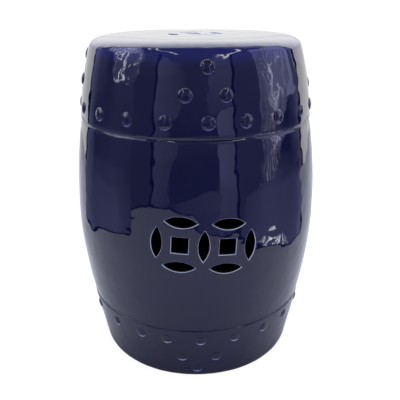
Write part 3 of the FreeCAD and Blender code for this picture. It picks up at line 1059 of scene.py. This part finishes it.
def panel(name, distance, *rows, material=cool, crinkle=0.0):
    points, glows, creases = [], [], []
    shares = np.linspace(0, 1, across + 1)
    for lower, upper in zip(rows, rows[1:]):
        glow = [np.interp(shares, np.linspace(0, 1, len(row[3:])), row[3:]) for row in (lower, upper)]
        for k in range(up + 1):
            t = k / up
            elevation, left, right = (a + (b - a) * t for a, b in zip(lower[:3], upper[:3]))
            points += [stool_middle + aim(left + (right - left) * u, elevation) * distance for u in shares]
            glows += list(glow[0] + (glow[1] - glow[0]) * t)
            fade = math.sin(math.pi * (k + 1) / (up + 2)) ** 0.3
            creases += list(crinkle * np.sin(math.pi * shares) * fade)
    width = across + 1
    faces = []
    for stripe in range(len(points) // width - 1):
        if (stripe + 1) % (up + 1):
            first = stripe * width
            faces += [(i, i + 1, i + 1 + width, i + width) for i in range(first, first + across)]
    thing = new_object(name, points, [], faces, {"brightness": glows, "crinkle": creases})
    only_in_the_glaze(thing, material)
    print("%s: %d faces" % (name, len(faces)))


panel("dim_room", 20.0,
      (-40, -128, 121, 0.3), (0, -128, 121, 0.25), (28, -118, 112, 0.25), (88, -70, 70, 0.17))
panel("left_side_wall", 19.0,
      (-45, -152, -128, 1.1, 1.3), (-10, -152, -128, 1.1, 1.65), (8, -152, -127, 1.1, 1.65), material=white)
panel("right_side_wall", 19.0,
      (-45, 124, 152, 1.4, 1.1), (-17, 122, 152, 1.8, 1.1), (-4, 121, 152, 1.8, 1.1),
      (8, 122.5, 152, 1.8, 1.1), material=white)
panel("overhead_light", 18.0, (8, -240, -124, 1.6, 1.1, 1.6), (14, -240, -122, 2.2, 1.6, 2.2),
      (30, -240, -120, 3.2, 2.95, 3.2), (50, -240, -118, 4.2), (84, -240, -112, 3.4), material=white)
panel("left_screen", 17.0, (15, -104, -62, 0.8, 0.5), (26, -108, -66, 1.8, 1.2), (60, -118, -90, 2.0))
panel("left_film", 16.5, (10, -88, -66, 0.3, 0.2), (23, -106, -50, 1.4, 0.7), (50, -112, -66, 1.6),
      crinkle=16.0, material=slanting)
panel("right_screen", 17.0,
      (1, 64, 112, 0.9, 1.5, 0.8), (24, 64, 110, 1.1, 1.5, 1.6), (45, 70, 112, 1.7))
panel("right_film", 16.5, (-7, 64, 82, 0.3, 0.5, 0.1), (0, 66, 96, 0.4, 0.8, 0.4),
      (6, 66, 104, 0.7, 1.2, 0.7), (24, 66, 104, 0.8, 1.2, 1.0), crinkle=6.0)
panel("swirl_film", 16.5, (-33, 62, 104, 0.3, 0.5, 0.3), (-27, 60, 104, 0.4, 0.8, 0.3),
      (-22.5, 58, 86, 0.4), crinkle=18.0, material=curly)
panel("left_low", 17.5,
      (-35, -126, -62, 0.3, 0.25, 0.4, 0.5, 0.3), (-15, -126, -62, 0.3, 0.22, 0.35, 0.48, 0.3),
      (-5, -126, -62, 0.35, 0.08, 0.15, 0.24, 0.2), (15, -126, -62, 0.7, 0.3, 0.1, 0.3, 0.35))
panel("left_corner", 17.5, (-35, -62, -40, 0.15), (15, -62, -40, 0.2), (30, -62, -40, 0.4))
panel("left_half", 17.5, (-16, -40, -24, 0.4, 0.2), (-1, -40, -24, 0.5, 0.35), (5, -40, -16, 0.6, 0.4),
      (10, -38, -12, 0.55, 0.35), (24, -38, -10, 0.8, 0.25))
panel("middle", 17.6,
      (-22, -26, 20, 0.1), (-1, -24, 20, 0.12), (6, -16, 20, 0.18), (26, -12, 16, 0.25))
panel("under_middle", 17.4,
      (-22, -30, 22, 0.25), (-13, -22, 22, 0.25, 0.3, 0.4), (-10.5, -6, 22, 0.3, 0.4), (-9, 10, 22, 0.35))
panel("opening", 17.2,
      (-20, 23, 37, 0.5, 0.45), (-8, 22, 37, 0.6, 0.5), (-3, 21, 37, 0.8, 0.65), (6, 21, 37, 0.8, 0.65))
panel("over_opening", 17.2, (6.5, 12, 36, 0.3, 0.45), (26, 12, 36, 0.65, 0.55))
panel("right_corner", 17.5, (-35, 38, 63, 0.25, 0.12), (15, 38, 63, 0.25), (28, 38, 63, 0.35))
panel("right_patch", 17.2, (-30, 43, 63, 0.4, 0.55), (-12, 45, 63, 0.35, 0.5), (-8, 60, 63, 0.4))
panel("right_low", 17.3, (-35, 63, 121, 0.55, 0.5, 0.4, 0.33, 0.32, 0.45),
      (-12, 63, 121, 0.55, 0.5, 0.4, 0.3, 0.28, 0.45), (-8, 63, 121, 0.38, 0.45, 0.28, 0.12, 0.08, 0.4),
      (-4, 63, 121, 0.4, 0.5, 0.06, 0.04, 0.2, 0.45), (1, 63, 121, 0.45, 0.7, 0.1, 0.04, 0.2, 0.5))
panel("left_frame", 15.0,
      (-40, -46.4, -43.8, 0), (-13, -44.6, -42, 0), (-4, -41.2, -38.8, 0), (28, -38.8, -36.4, 0))
panel("right_frame", 15.0,
      (-40, 40.6, 43, 0), (-13, 37.5, 40, 0), (-4, 35.7, 38.1, 0), (28, 36.3, 38.7, 0))
panel("left_edge", 15.0,
      (-40, -133, -129.5, 0), (-17, -131, -127.5, 0), (0, -127, -123.7, 0), (26, -127, -124, 0))
panel("right_edge", 15.0, (-40, 121.5, 125, 0), (-17, 119, 122.5, 0), (-4, 118, 121.5, 0),
      (5, 120, 123.2, 0), (26, 116.5, 120, 0))
panel("left_lamp", 14.0, (30, -20, -17.5, 10), (47, -33, -29.5, 11), (66, -94, -86, 11), material=white)
panel("right_lamp", 14.0, (25.5, 22, 25, 9), (28, 32, 35.5, 10), (46, 55, 59, 10), (60, 64, 70, 10),
      material=white)

# %% [markdown]
# Three large soft lights give the plain light of a studio tent: a strong one from above and behind, and two
# weak ones from the front corners. They stay out of the glaze, where the panels already say what is
# mirrored.

# %% Lights


def soft_light(name, azimuth, elevation, distance, size, watts):
    data = bpy.data.lights.new(name, "AREA")
    data.shape = "SQUARE"
    data.size = size
    data.energy = watts
    lamp = bpy.data.objects.new(name, data)
    bpy.context.scene.collection.objects.link(lamp)
    lamp.location = stool_middle + aim(azimuth, elevation) * distance
    lamp.rotation_euler = aim(azimuth, elevation).to_track_quat("Z", "Y").to_euler()
    lamp.visible_glossy = False
    print("%s: %.0f W" % (name, watts))


soft_light("overhead_softbox", 180, 72, 2.2, 2.2, 68.0)
soft_light("front_left_softbox", -50, 12, 2.4, 1.4, 14.0)
soft_light("front_right_softbox", 70, 12, 2.4, 1.4, 24.0)
